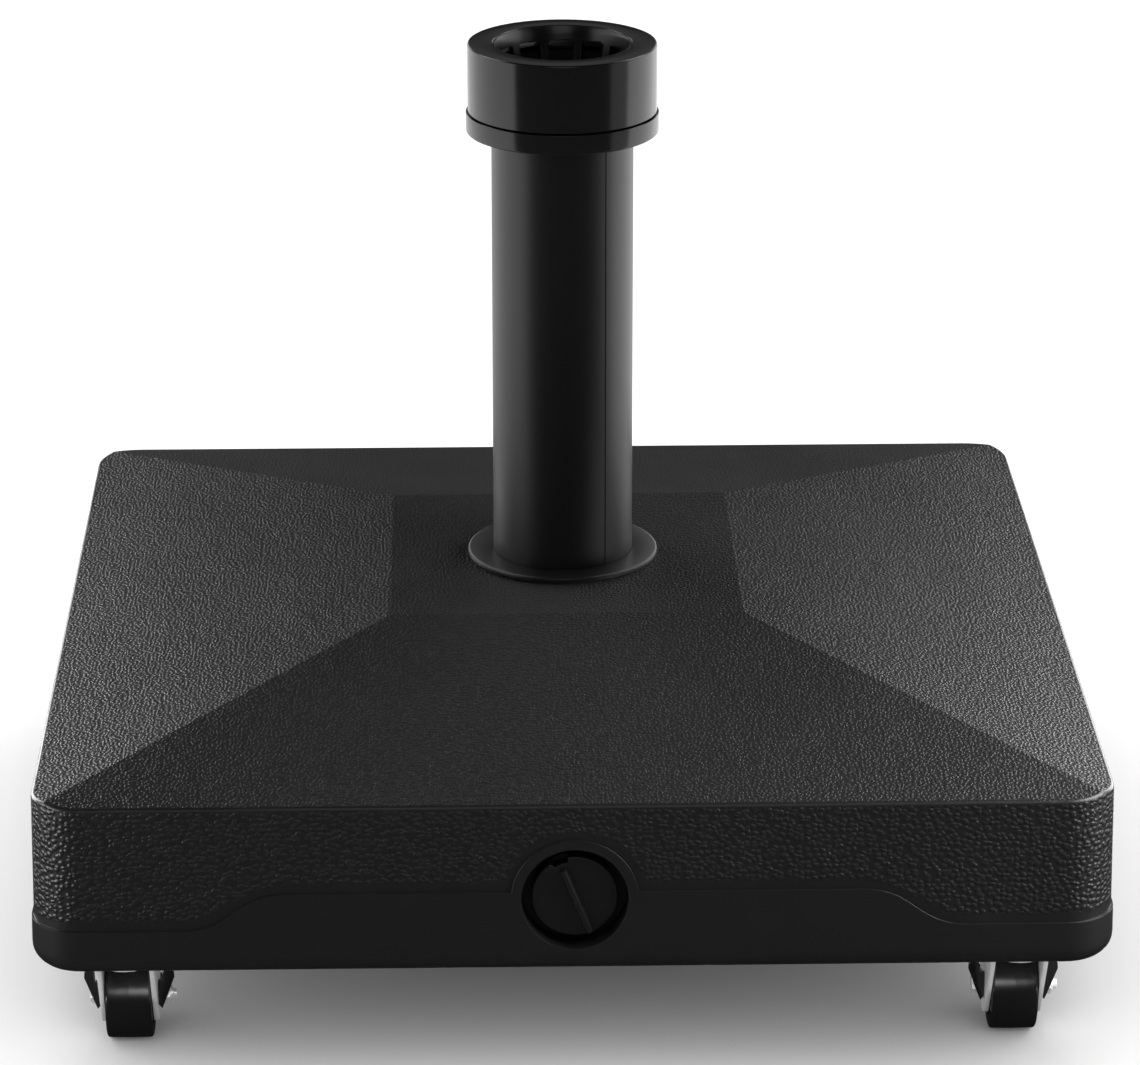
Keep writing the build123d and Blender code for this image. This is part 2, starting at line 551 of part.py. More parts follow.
with BuildPart() as axle_bolt:
    for start_x, length in ((-HEX_START, -HEX_6_HEIGHT), (HEX_START, NUT_HEIGHT)):
        with BuildSketch(Plane.YZ.offset(start_x)):
            with Locations((TRAIL, WHEEL_RADIUS)):
                RegularPolygon(HEX_6_ACROSS / 2, 6, major_radius=False)
        extrude(amount=length)
    with BuildSketch(Plane.YZ.offset(-HEX_START)):
        with Locations((TRAIL, WHEEL_RADIUS)):
            Circle(AXLE_RADIUS)
    extrude(amount=HEX_START + BOLT_END)

with BuildPart() as axle_sleeve:
    with BuildSketch(Plane.YZ.offset(-ARM_INNER)):
        with Locations((TRAIL, WHEEL_RADIUS)):
            Circle(SLEEVE_OUTER_RADIUS)
            Circle(AXLE_RADIUS + RUNNING_GAP, mode=Mode.SUBTRACT)
    extrude(amount=2 * ARM_INNER)

with BuildPart() as wheel_hub:
    with BuildSketch(Plane.XZ.offset(-TRAIL)):
        hub_bore = SLEEVE_OUTER_RADIUS + RUNNING_GAP
        with Locations((0, WHEEL_RADIUS)):
            for half_width, inner, outer in (
                (HUB_HALF_WIDTH, hub_bore, hub_bore + 3.5),
                (2.5, hub_bore, RIM_RADIUS),
                (RIM_HALF_WIDTH, RIM_RADIUS - 2.5, RIM_RADIUS),
            ):
                with Locations((0, (inner + outer) / 2)):
                    Rectangle(2 * half_width, outer - inner)
    revolve(axis=AXLE)

with BuildPart() as tyre:
    with BuildSketch(Plane.XZ.offset(-TRAIL)) as tread:
        with Locations((0, WHEEL_RADIUS + (RIM_RADIUS + WHEEL_RADIUS) / 2)):
            Rectangle(2 * TYRE_HALF_WIDTH, WHEEL_RADIUS - RIM_RADIUS)
        fillet(tread.vertices().group_by(Axis.Y)[-1], TREAD_FILLET)
    revolve(axis=AXLE)

# A cheek each side of the fork runs back to a pedal low behind the wheel. Its front edge turns out in a wing
# that stands in front of the axle's hexes, with an open gap between the wing's top and the fork's arm.
WING_OUTLINE = (
    (CHEEK_INNER, -3.0),
    (CHEEK_OUTER, -5.5),
    (19.6, -1.9),
    (25.4, 14.0),
    (25.2, 17.0),
    (23.5, 19.5),
    (21.0, 19.5),
    (19.4, 17.5),
    (19.2, 11.8),
    (CHEEK_INNER, 11.8),
)

with BuildPart() as brake_lever:
    for start_x in (-CHEEK_OUTER, CHEEK_INNER):
        with BuildSketch(Plane.YZ.offset(start_x)):
            with BuildLine():
                lip_arc = CenterArc(
                    (TRAIL, WHEEL_RADIUS), PEDAL_OUTER_RADIUS, PEDAL_START, PEDAL_END - PEDAL_START
                )
                Polyline(
                    lip_arc @ 1,
                    (TRAIL, WHEEL_RADIUS + 8),
                    (TRAIL - WING_FRONT, WHEEL_RADIUS + 11.8),
                    (TRAIL - WING_FRONT, WHEEL_RADIUS - 3),
                    (TRAIL, WHEEL_RADIUS - 7),
                    lip_arc @ 0,
                )
            make_face()
            with Locations((TRAIL, WHEEL_RADIUS)):
                Circle(AXLE_RADIUS + RUNNING_GAP, mode=Mode.SUBTRACT)
        extrude(amount=CHEEK_THICKNESS)
    with BuildSketch(Plane.YZ.offset(-CHEEK_OUTER)):
        with BuildLine():
            outer_arc = CenterArc(
                (TRAIL, WHEEL_RADIUS), PEDAL_OUTER_RADIUS, PEDAL_START, PEDAL_END - PEDAL_START
            )
            inner_arc = CenterArc(
                (TRAIL, WHEEL_RADIUS), PEDAL_INNER_RADIUS, PEDAL_START, PEDAL_END - PEDAL_START
            )
            Line(outer_arc @ 0, inner_arc @ 0)
            Line(outer_arc @ 1, inner_arc @ 1)
        make_face()
    extrude(amount=2 * CHEEK_OUTER)
    lip_plane = Plane.YZ.offset(-CHEEK_OUTER)
    lip_angle = radians(PEDAL_START)
    with BuildSketch(lip_plane):
        lip_middle = (PEDAL_INNER_RADIUS + PEDAL_LIP_RADIUS) / 2
        with Locations(
            Location(
                (TRAIL + lip_middle * cos(lip_angle), WHEEL_RADIUS + lip_middle * sin(lip_angle)),
                PEDAL_START,
            )
        ):
            Rectangle(PEDAL_LIP_RADIUS - PEDAL_INNER_RADIUS, WING_THICKNESS)
    extrude(amount=2 * CHEEK_OUTER)
    with BuildSketch(Plane.XZ.offset(WING_FRONT - TRAIL)):
        for side in (-1, 1):
            with BuildLine():
                Polyline([(side * x, WHEEL_RADIUS + z) for x, z in WING_OUTLINE], close=True)
            make_face()
    extrude(amount=-WING_THICKNESS)

CASTER_PIECES = {
    "caster_plate": caster_plate,
    "swivel_rivet": swivel_rivet,
    "bearing_balls": bearing_balls,
    "fork": fork,
    "axle_bolt": axle_bolt,
    "axle_sleeve": axle_sleeve,
    "wheel_hub": wheel_hub,
    "tyre": tyre,
    "brake_lever": brake_lever,
}
for corner, (x, y, turn) in CORNERS.items():
    for name, piece in CASTER_PIECES.items():
        save(piece.part.moved(Location((x, y, 0), (0, 0, turn))), f"{name}_{corner}")

with BuildPart() as caster_screws:
    with BuildSketch(Plane.XY.offset(PLATE_BOTTOM_Z)):
        with GridLocations(2 * SWIVEL_OFFSET, 2 * SWIVEL_OFFSET, 2, 2):
            with GridLocations(SCREW_SPACING_X, SCREW_SPACING_Y, 2, 2):
                Circle(SCREW_RADIUS)
    extrude(amount=SCREW_LENGTH)
    with BuildSketch(Plane.XY.offset(PLATE_BOTTOM_Z)):
        with GridLocations(2 * SWIVEL_OFFSET, 2 * SWIVEL_OFFSET, 2, 2):
            with GridLocations(SCREW_SPACING_X, SCREW_SPACING_Y, 2, 2):
                Circle(2 * SCREW_RADIUS)
    extrude(amount=-SCREW_RADIUS)
    fillet(caster_screws.edges().group_by(Axis.Z)[0], SCREW_RADIUS / 2)
save(caster_screws.part, "caster_screws")
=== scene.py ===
"""Parasol base: materials, refined pieces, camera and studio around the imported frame.

Metres, +Z up, -Y the front. Numbers in millimetres are multiplied by MM where they are used.
"""

import json
import math

import bmesh
import bpy
from mathutils import Matrix, Vector

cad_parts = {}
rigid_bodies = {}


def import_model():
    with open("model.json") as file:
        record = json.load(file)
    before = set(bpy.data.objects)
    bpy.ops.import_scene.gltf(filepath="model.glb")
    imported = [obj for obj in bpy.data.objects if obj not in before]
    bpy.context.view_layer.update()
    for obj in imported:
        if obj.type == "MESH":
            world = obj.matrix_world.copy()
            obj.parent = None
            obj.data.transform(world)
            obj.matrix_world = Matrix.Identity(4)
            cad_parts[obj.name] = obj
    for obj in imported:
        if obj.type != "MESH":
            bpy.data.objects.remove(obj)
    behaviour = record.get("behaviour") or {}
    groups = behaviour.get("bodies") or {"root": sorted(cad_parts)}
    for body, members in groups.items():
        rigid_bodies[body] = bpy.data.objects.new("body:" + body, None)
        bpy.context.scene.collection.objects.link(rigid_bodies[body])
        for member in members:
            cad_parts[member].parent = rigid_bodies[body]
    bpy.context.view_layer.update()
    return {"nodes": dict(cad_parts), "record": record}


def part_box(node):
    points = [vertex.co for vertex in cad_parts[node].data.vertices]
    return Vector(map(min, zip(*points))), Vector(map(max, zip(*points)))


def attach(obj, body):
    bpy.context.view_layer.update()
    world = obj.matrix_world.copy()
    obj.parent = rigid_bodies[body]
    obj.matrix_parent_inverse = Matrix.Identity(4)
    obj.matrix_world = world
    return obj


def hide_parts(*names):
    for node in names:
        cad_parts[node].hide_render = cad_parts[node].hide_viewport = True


MM = 0.001
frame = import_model()
nodes = frame["nodes"]

cap_low, cap_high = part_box("filler_cap")
CAP_CENTRE = (cap_low + cap_high) / 2


# Node helpers ---------------------------------------------------------------------------------------
class Tree:
    """Short ways to add and link nodes in one material."""

    def __init__(self, name):
        self.material = bpy.data.materials.new(name)
        self.material.use_nodes = True
        self.nodes = self.material.node_tree.nodes
        self.links = self.material.node_tree.links
        self.shader = self.nodes["Principled BSDF"]

    def add(self, kind, inputs=None, **settings):
        node = self.nodes.new(kind)
        for key, value in settings.items():
            setattr(node, key, value)
        for key, value in (inputs or {}).items():
            self.put(value, node.inputs[key])
        return node

    def put(self, value, socket):
        if hasattr(value, "is_linked"):
            self.links.new(value, socket)
        else:
            socket.default_value = value

    def math(self, operation, *values):
        node = self.add("ShaderNodeMath", operation=operation)
        for index, value in enumerate(values):
            self.put(value, node.inputs[index])
        return node.outputs[0]

    def ramp(self, value, low, high):
        """0 below low, 1 above high, smooth between."""
        node = self.add("ShaderNodeMapRange", interpolation_type="SMOOTHSTEP")
        for index, item in enumerate((value, low, high, 0.0, 1.0)):
            self.put(item, node.inputs[index])
        return node.outputs[0]

    def mix(self, factor, a, b):
        """a where factor is 0, b where it is 1."""
        node = self.add("ShaderNodeMix", data_type="FLOAT")
        for index, item in ((0, factor), (2, a), (3, b)):
            self.put(item, node.inputs[index])
        return node.outputs[0]

    def vector(self, operation, a, b):
        """Vector maths on a and b; b is the factor of SCALE."""
        second = "Scale" if operation == "SCALE" else 1
        node = self.add("ShaderNodeVectorMath", {0: a, second: b}, operation=operation)
        return node.outputs["Value" if operation == "DISTANCE" else 0]

    def grey(self, shade, blue=None):
        """A colour of one shade, or one with its own blue."""
        channels = {"Red": shade, "Green": shade, "Blue": shade if blue is None else blue}
        return self.add("ShaderNodeCombineColor", channels).outputs[0]

    def position(self):
        return self.add("ShaderNodeTexCoord").outputs["Object"]

    def scaled(self, vector, x, y, z):
        return self.add("ShaderNodeMapping", {"Vector": vector, "Scale": (x, y, z)}).outputs[0]

    def noise(self, vector, scale, detail=2.0, roughness=0.5, output="Factor"):
        node = self.add(
            "ShaderNodeTexNoise",
            {"Vector": vector, "Scale": scale, "Detail": detail, "Roughness": roughness},
        )
        return node.outputs[0 if output == "Factor" else 1]

    def bump(self, height, distance, normal=None):
        node = self.add("ShaderNodeBump", {"Height": height, "Distance": distance, "Strength": 1.0})
        if normal is not None:
            self.links.new(normal, node.inputs["Normal"])
        return node.outputs[0]

    def surface(self, color, roughness, normal=None, metallic=0.0):
        self.put(color, self.shader.inputs["Base Color"])
        self.put(roughness, self.shader.inputs["Roughness"])
        self.put(metallic, self.shader.inputs["Metallic"])
        if normal is not None:
            self.links.new(normal, self.shader.inputs["Normal"])
        return self.material


# Materials ------------------------------------------------------------------------------------------
# The lower panel's top line: its two heights on the front, and where it rises between them
PANEL_LOW_Z = 96.5 * MM
PANEL_HIGH_Z = 118.0 * MM
PANEL_HIGH_HALF = 158.0 * MM
PANEL_LOW_HALF = 216.0 * MM
GRAIN_MARGIN = 5.5 * MM
BOSS_RADIUS = 35.1 * MM
FRONT_FACE_Y = -0.290
TANK_HALF = 0.2985
TANK_CORNER = 0.028
# Height of the pebbles on the walls, and their share of it on the roof
WALL_GRAIN = 0.5 * MM
ROOF_GRAIN = 0.6
# Pebbles per metre each way, and the reach of one in its cell
WALL_PEBBLES = (270.0, 330.0, 0.60)
ROOF_PEBBLES = (430.0, 400.0, 0.58)
PEBBLE_WANDER = 3.5 * MM
PORE_DEPTH = 0.04 * MM
SWELL_DEPTH = 1.2 * MM
ZINC_METALLIC = 0.45


def tank_material():
    """Black polyethylene, pebbled except on the lower panel, the boss and the underside."""
    t = Tree("tank_plastic")
    place = t.position()
    split = t.add("ShaderNodeSeparateXYZ", {"Vector": place})
    x, y, z = split.outputs
    # Height of the panel's top line: an S at each end of the front, low everywhere else
    rise = t.ramp(t.math("ABSOLUTE", x), PANEL_HIGH_HALF, PANEL_LOW_HALF)
    on_front = t.math("LESS_THAN", y, FRONT_FACE_Y)
    line = t.mix(rise, PANEL_HIGH_Z, PANEL_LOW_Z)
    line = t.mix(on_front, PANEL_LOW_Z, line)
    above = t.ramp(t.math("SUBTRACT", z, line), GRAIN_MARGIN - 0.001, GRAIN_MARGIN + 0.0015)
    cap_axis = (CAP_CENTRE.x, 0.0, CAP_CENTRE.z)
    from_cap = t.vector("DISTANCE", t.scaled(place, 1, 0, 1), cap_axis)
    off_boss = t.ramp(from_cap, BOSS_RADIUS + 0.003, BOSS_RADIUS + 0.0055)
    off_boss = t.math("MAXIMUM", off_boss, t.math("GREATER_THAN", y, FRONT_FACE_Y + 0.03))
    grained = t.math("MULTIPLY", above, off_boss)
    # Distance round the walls from the middle of the front, so that no corner stretches the grain
    straight = TANK_HALF - TANK_CORNER
    along_x = t.math("MINIMUM", t.math("ABSOLUTE", x), straight)
    along_y = t.math("MAXIMUM", t.math("MINIMUM", y, straight), -straight)
    off_x = t.math("SUBTRACT", t.math("ABSOLUTE", x), along_x)
    off_y = t.math("SUBTRACT", along_y, y)
    turn = t.math("MULTIPLY", t.math("ARCTAN2", off_x, off_y), TANK_CORNER)
    past_side = t.math("SUBTRACT", 2 * straight, along_x)
    travel = t.mix(t.math("GREATER_THAN", y, 0.0), along_x, past_side)
    travel = t.math("ADD", t.math("ADD", travel, turn), t.math("ADD", along_y, straight))
    travel = t.math("MULTIPLY", travel, t.math("SIGN", x))
    # Pebbles: round bumps of mixed size, pulled out of line by noise; none on the rounded shoulder
    wander = t.vector("SUBTRACT", t.noise(place, 120.0, 2.0, 0.5, "Color"), (0.5, 0.5, 0.5))
    wander = t.vector("SCALE", wander, PEBBLE_WANDER)
    true_normal = t.add("ShaderNodeNewGeometry").outputs["True Normal"]
    facing = t.add("ShaderNodeSeparateXYZ", {"Vector": true_normal}).outputs[2]
    domes = []
    for flat_u, flat_v, (per_u, per_v, reach) in ((travel, z, WALL_PEBBLES), (x, y, ROOF_PEBBLES)):
        spot = t.add("ShaderNodeCombineXYZ", {"X": flat_u, "Y": flat_v}).outputs[0]
        bent = t.vector("ADD", spot, wander)
        cells = t.add(
            "ShaderNodeTexVoronoi",
            {"Vector": t.scaled(bent, per_u, per_v, 0), "Scale": 1.0, "Randomness": 0.8},
            feature="F1",
            voronoi_dimensions="2D",
        )
        size = t.mix(t.noise(place, 300.0, 1.0, 0.5), reach - 0.22, reach + 0.18)
        domes.append(t.math("SUBTRACT", 1.0, t.ramp(cells.outputs["Distance"], 0.10, size)))
    on_roof = t.ramp(facing, 0.5, 0.52)
    on_wall = t.math("SUBTRACT", 1.0, t.ramp(facing, 0.06, 0.2))
    on_flat = t.math("ADD", t.ramp(facing, 0.93, 0.97), on_wall)
    dome = t.mix(on_roof, *domes)
    grained = t.math("MULTIPLY", grained, on_flat)
    fine = t.noise(place, 1500.0, 2.0, 0.55)
    swell = t.noise(place, 14.0, 1.0, 0.4)
    height = t.math("MULTIPLY", dome, grained)
    pebbles = t.bump(t.math("MULTIPLY", height, t.mix(on_roof, 1.0, ROOF_GRAIN)), WALL_GRAIN)
    pores = t.bump(fine, PORE_DEPTH, pebbles)
    normal = t.bump(swell, SWELL_DEPTH, pores)
    # Pebble tops are smoother, and painted a little paler than the hollows between them: a painted
    # highlight on the tops and painted shade in the hollows. Dust lies in faint patches
    patch = t.noise(place, 9.0, 3.0, 0.6)
    base = t.mix(grained, 0.30, t.mix(on_roof, 0.34, 0.44))
    roughness = t.math("ADD", t.math("MULTIPLY", patch, 0.10), base)
    roughness = t.math("SUBTRACT", roughness, t.math("MULTIPLY", height, 0.06))
    # Paler on the pebble domes: painted highlight on their tops, painted shade between them
    shade = t.mix(dome, 0.0105, 0.0135)
    shade = t.mix(grained, 0.011, shade)
    dust = t.ramp(t.noise(place, 37.0, 4.0, 0.65), 0.52, 0.85)
    shade = t.math("ADD", shade, t.math("MULTIPLY", dust, 0.003))
    return t.surface(t.grey(shade), roughness, normal)


def moulded(name, level, roughness, orange_peel, flecks, scale, streak=(1, 1, 1)):
    """Injection-moulded plastic: slight orange peel, patchy gloss, faint scuffs.

    orange_peel is its height in millimetres, and scale how many bumps there are in a metre.
    """
    t = Tree(name)
    place = t.position()
    stretched = t.scaled(place, *streak)
    peel = t.bump(t.noise(stretched, scale, 2.0, 0.5), orange_peel * MM)
    patch = t.noise(stretched, 22.0, 3.0, 0.6)
    scuff = t.ramp(t.noise(t.scaled(place, 1, 1, 6), 160.0, 4.0, 0.7), 0.62, 0.8)
    gloss = t.math("ADD", t.math("MULTIPLY", patch, 0.06), roughness - 0.03)
    gloss = t.math("ADD", gloss, t.math("MULTIPLY", scuff, flecks))
    return t.surface(t.grey(t.mix(patch, level * 0.85, level * 1.15)), gloss, peel)


def zinc(name, level, roughness, blue, grain=(1, 1, 1)):
    """Zinc-plated pressed steel: rolling grain, cloudy plating, a few darker spots."""
    t = Tree(name)
    place = t.position()
    rolled = t.noise(t.scaled(place, *grain), 900.0, 3.0, 0.6)
    cloud = t.noise(place, 60.0, 3.0, 0.55)
    spot = t.ramp(t.noise(place, 420.0, 2.0, 0.5), 0.68, 0.8)
    gloss = t.math("ADD", t.math("MULTIPLY", rolled, 0.12), roughness - 0.06)
    gloss = t.math("ADD", gloss, t.math("MULTIPLY", cloud, 0.10))
    shade = t.mix(cloud, level * 0.86, level * 1.08)
    shade = t.math("SUBTRACT", shade, t.math("MULTIPLY", spot, level * 0.25))
    color = t.grey(shade, t.math("ADD", shade, blue))
    return t.surface(color, gloss, t.bump(rolled, 0.01 * MM), metallic=ZINC_METALLIC)


def rubber(name, level, roughness):
    """Tyres and seals: fine sandy skin, with slightly uneven shade and gloss."""
    t = Tree(name)
    place = t.position()
    skin = t.noise(place, 2200.0, 3.0, 0.6)
    wear = t.noise(place, 120.0, 4.0, 0.65)
    shade = t.mix(wear, level * 0.85, level * 1.2)
    gloss = t.math("ADD", t.math("MULTIPLY", wear, 0.05), roughness - 0.025)
    return t.surface(t.grey(shade), gloss, t.bump(skin, 0.03 * MM))


MATERIALS = {
    "tank_plastic": tank_material(),
    "stem_plastic": moulded("stem_plastic", 0.009, 0.38, 0.012, 0.03, 420.0, (1, 1, 0.25)),
    "collar_plastic": moulded("collar_plastic", 0.010, 0.17, 0.004, 0.02, 240.0),
    "collet_plastic": moulded("collet_plastic", 0.012, 0.26, 0.004, 0.02, 240.0),
    "cap_plastic": moulded("cap_plastic", 0.010, 0.32, 0.01, 0.04, 500.0),
    "inner_plastic": moulded("inner_plastic", 0.03, 0.5, 0.02, 0.03, 300.0),
    "hub_plastic": moulded("hub_plastic", 0.02, 0.35, 0.01, 0.04, 500.0),
    "brake_plastic": moulded("brake_plastic", 0.012, 0.28, 0.02, 0.06, 700.0),
    "zinc_steel": zinc("zinc_steel", 0.88, 0.36, 0.008, (1, 12, 1)),
    "bolt_steel": zinc("bolt_steel", 0.86, 0.3, 0.006),
    "ball_steel": zinc("ball_steel", 0.75, 0.12, 0.0),
    "seal_rubber": rubber("seal_rubber", 0.012, 0.6),
    "tyre": rubber("tyre", 0.006, 0.24),
}
slot_of = {part["node"]: part["material_slot"] for part in frame["record"]["subparts"]}
for name, node in nodes.items():
    node.data.materials.clear()
    node.data.materials.append(MATERIALS[slot_of[name]])


# Mesh helpers ---------------------------------------------------------------------------------------
def evaluated(made):
    """The mesh of an object with its modifiers applied."""
    bpy.context.view_layer.update()
    depsgraph = bpy.context.evaluated_depsgraph_get()
    return bpy.data.meshes.new_from_object(made.evaluated_get(depsgraph))


def finished(name, mesh, bevel=0.0, angle=50.0, segments=2, smooth=35.0):
    """A mesh with its sharp edges bevelled, shaded smooth except where it still turns sharply."""
    made = bpy.data.objects.new(name, mesh)
    bpy.context.scene.collection.objects.link(made)
    if bevel:
        edge = made.modifiers.new("edges", "BEVEL")
        edge.width = bevel
        edge.segments = segments
        edge.limit_method = "ANGLE"
        edge.angle_limit = math.radians(angle)
        edge.use_clamp_overlap = True
        edge.miter_outer = "MITER_ARC"
        mesh = evaluated(made)
    bpy.data.objects.remove(made)
    mesh.name = name
    mesh.shade_smooth()
    mesh.set_sharp_from_angle(angle=math.radians(smooth))
    return mesh


def mesh_of(name, bm):
    mesh = bpy.data.meshes.new(name)
    bmesh.ops.recalc_face_normals(bm, faces=bm.faces)
    bm.to_mesh(mesh)
    bm.free()
    return mesh


def show(node, mesh, body, matrix=None):
    """Puts a finished mesh in the scene in place of a CAD node, under the node's name."""
    piece = bpy.data.objects.new(node, mesh)
    bpy.context.scene.collection.objects.link(piece)
    if matrix is not None:
        piece.matrix_world = matrix
    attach(piece, body)
    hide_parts(node)
    if not mesh.materials:
        mesh.materials.append(MATERIALS[slot_of[node]])
    return piece


def polar(radius, turn, height):
    """The point at a radius, an angle in radians and a height."""
    return Vector((radius * math.cos(turn), radius * math.sin(turn), height))


def arc(centre, radius, start, end, steps):
    """Points on an arc, angles in degrees."""
    turns = (math.radians(start + (end - start) * i / steps) for i in range(steps + 1))
    return [(centre[0] + radius * math.cos(t), centre[1] + radius * math.sin(t)) for t in turns]


def rounded(corners, steps=5):
    """A closed outline from (x, y, radius) corners, each turned into an arc."""
    outline = []
    count = len(corners)
    for index, (x, y, radius) in enumerate(corners):
        here = Vector((x, y))
        before = Vector(corners[index - 1][:2]) - here
        after = Vector(corners[(index + 1) % count][:2]) - here
        if radius == 0:
            outline.append((x, y))
            continue
        half = before.angle(after) / 2
        # Just under half of each side at most, so that neighbouring arcs don't meet
        reach = min(radius / math.tan(half), before.length * 0.49, after.length * 0.49)
        start = here + before.normalized() * reach
        end = here + after.normalized() * reach
        for step in range(steps + 1):
            share = step / steps
            a = start.lerp(here, share)
            b = here.lerp(end, share)
            point = a.lerp(b, share)
            outline.append((point.x, point.y))
    return outline


def lathe(bm, outline, matrix, steps=96):
    """Turns a closed (radius, height) outline round the matrix's Z axis."""
    rings = []
    for step in range(steps):
        turn = 2 * math.pi * step / steps
        rings.append([bm.verts.new(matrix @ polar(r, turn, h)) for r, h in outline])
    count = len(outline)
    for step in range(steps):
        here, there = rings[step], rings[(step + 1) % steps]
        for i in range(count):
            j = (i + 1) % count
            bm.faces.new((here[i], there[i], there[j], here[j]))


def sheet(bm, loops, place, u_cuts=(), v_cuts=(), seam=None):
    """A flat outline with holes, cut along lines of equal u and v, placed as two joined skins.

    place(u, v, side) gives the point on skin 0 or 1. seam is the pair of u values where the
    sheet closes on itself.
    """
    flat = bmesh.new()
    for loop in loops:
        corners = [flat.verts.new((u, v, 0)) for u, v in loop]
        for index, corner in enumerate(corners):
            flat.edges.new((corner, corners[(index + 1) % len(corners)]))
    bmesh.ops.triangle_fill(flat, edges=flat.edges[:], use_beauty=True)
    for axis, cuts in ((0, u_cuts), (1, v_cuts)):
        for cut in cuts:
            spot, way = Vector((0, 0, 0)), Vector((0, 0, 0))
            spot[axis], way[axis] = cut, 1
            geometry = flat.verts[:] + flat.edges[:] + flat.faces[:]
            bmesh.ops.bisect_plane(flat, geom=geometry, plane_co=spot, plane_no=way, dist=1e-7)
    flat.verts.index_update()
    skins = [[bm.verts.new(place(v.co.x, v.co.y, side)) for v in flat.verts] for side in (0, 1)]
    for face in flat.faces:
        order = [v.index for v in face.verts]
        bm.faces.new([skins[0][i] for i in order])
        bm.faces.new([skins[1][i] for i in reversed(order)])
    for rim in flat.edges:
        if len(rim.link_faces) != 1:
            continue
        a, b = rim.verts
        if seam and any(abs(a.co.x - u) < 1e-6 and abs(b.co.x - u) < 1e-6 for u in seam):
            continue
        bm.faces.new((skins[0][a.index], skins[0][b.index], skins[1][b.index], skins[1][a.index]))
    flat.free()
    if seam:
        bmesh.ops.remove_doubles(bm, verts=bm.verts[:], dist=1e-6)


def slab(bm, loops, low, high, matrix):
    """A flat plate between two heights along the matrix's Z axis."""
    sheet(bm, loops, lambda u, v, side: matrix @ Vector((u, v, high if side else low)))


def softened(node, bevel, angle=40.0):
    """A CAD node's own shape with its edges rounded off."""
    bm = bmesh.new()
    bm.from_mesh(nodes[node].data)
    bmesh.ops.remove_doubles(bm, verts=bm.verts[:], dist=2e-6)
    bmesh.ops.dissolve_limit(bm, angle_limit=math.radians(0.5), verts=bm.verts[:], edges=bm.edges[:])
    return finished(node + "_soft", mesh_of(node, bm), bevel, angle)


def level_faces(mesh):
    """Keeps a bevelled mesh's large faces flat in shading, so only its rounded edges turn the light."""
    made = bpy.data.objects.new(mesh.name, mesh)
    bpy.context.scene.collection.objects.link(made)
    weighted = made.modifiers.new("normals", "WEIGHTED_NORMAL")
    weighted.keep_sharp = True
    weighted.weight = 100
    levelled = evaluated(made)
    bpy.data.objects.remove(made)
    return levelled


def stack(bm, rings):
    """Joins equal rings of vertices one after another and closes both ends with flat faces."""
    for lower, upper in zip(rings, rings[1:]):
        count = len(lower)
        for i in range(count):
            j = (i + 1) % count
            bm.faces.new((lower[i], lower[j], upper[j], upper[i]))
    bm.faces.new(list(reversed(rings[0])))
    bm.faces.new(rings[-1])


def spun(bm, profile, matrix, steps):
    """An open (radius, height) profile turned round the matrix's Z axis, with closed ends."""
    turns = [2 * math.pi * step / steps for step in range(steps)]
    rings = []
    for radius, height in profile:
        rings.append([bm.verts.new(matrix @ polar(radius, turn, height)) for turn in turns])
    stack(bm, rings)


def hexagon(bm, matrix, across, low, high, steps=72):
    """A hexagonal bolt head or nut, with the corners turned down at its outer face."""
    apothem = across / 2
    corner = apothem / math.cos(math.radians(30))
    face = apothem * 0.97
    drop = (corner - apothem) * 0.75
    levels = [(low, corner + 1e-4)]
    for share in (1.0, 0.75, 0.5, 0.25, 0.0):
        levels.append((high - drop * share**1.4, face + (corner - face) * share))
    rings = []
    for height, limit in levels:
        ring = []
        for step in range(steps):
            turn = 2 * math.pi * step / steps
            away = (turn + math.radians(30)) % math.radians(60) - math.radians(30)
            radius = min(apothem / math.cos(away), limit)
            ring.append(bm.verts.new(matrix @ polar(radius, turn, height)))
        rings.append(ring)
    stack(bm, rings)


def threads(radius, pitch, low, high):
    """The profile of a rolled thread, as a row of ridges, ending in a chamfer."""
    profile = [(radius, low)]
    root = radius - 0.3 * pitch
    height = low
    while height + pitch < high - 0.3 * pitch:
        for r, share in ((root, 0.35), (root, 0.5), (radius, 0.85), (radius, 1.0)):
            profile.append((r, height + share * pitch))
        height += pitch
    return profile + [(radius, high - 0.45 * pitch), (radius - 0.4 * pitch, high)]


def mm(rows):
    """Rows of millimetres in metres."""
    return [tuple(value * MM for value in row) for row in rows]


# Collar and stem ------------------------------------------------------------------------------------
UP = Matrix.Identity(4)


def turned(name, outline):
    """A mesh turned from a closed outline of (radius, height, rounding) corners in millimetres."""
    bm = bmesh.new()
    lathe(bm, rounded(mm(outline)), UP, 160)
    return finished(name, mesh_of(name, bm), smooth=50.0)


sleeve_low, sleeve_high = (c.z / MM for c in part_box("collar_sleeve"))
ring_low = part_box("collar_base")[0].z / MM
flange_low, flange_high = (c.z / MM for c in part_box("stem_flange"))
collet_low, collet_high = (c.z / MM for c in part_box("collet"))
stem_low, stem_high = (c.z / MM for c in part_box("stem_tube"))
SLEEVE_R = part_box("collar_sleeve")[1].x / MM
SLEEVE_BORE = 48.6
SLEEVE_ROOF = sleeve_high - 8.5
MOUTH_R = 40.3
RING_R = 56.1
RING_FOOT = 466.7
RING_TOP = 478.4
NECK_R = 48.2
SEAT_TOP = 504.0
PLUG_R = 38.8
PLUG_BORE = 34.0
STEM_R = 41.4
STEM_FIT = 41.5
FLANGE_R = 56.6

